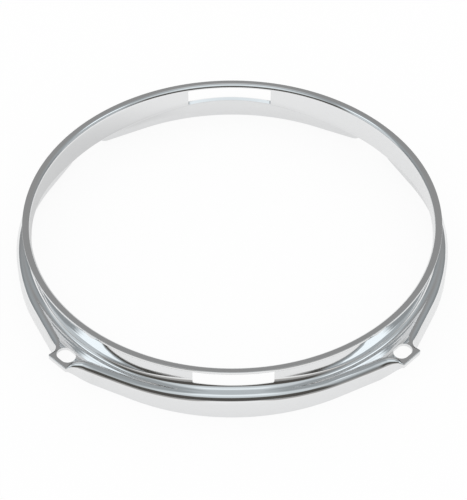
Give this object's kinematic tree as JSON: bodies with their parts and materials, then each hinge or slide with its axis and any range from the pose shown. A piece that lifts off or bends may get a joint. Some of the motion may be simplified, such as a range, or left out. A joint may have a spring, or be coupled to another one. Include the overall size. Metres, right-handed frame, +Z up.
{
  "type": "drum hoop",
  "caption": "Pressed and plated sheet-steel drum hoop with a turned-out lip, a narrow shelf, a deep skirt, slotted ears for tension rods and wide gates for snare wires.",
  "frame": {"origin": "centre of the circle that the skirt's lower edge stands on", "axes": "+Z up along the hoop's axis towards the lip; the narrower gate faces -Y and the wider gate +Y; the ears lie at 45 degrees between the axes"},
  "size_m": [0.2188, 0.2188, 0.027],
  "materials": {
    "chrome": "bright plated"
  },
  "bodies": {
    "root": {"hoop": "chrome"}
  },
  "joints": []
}
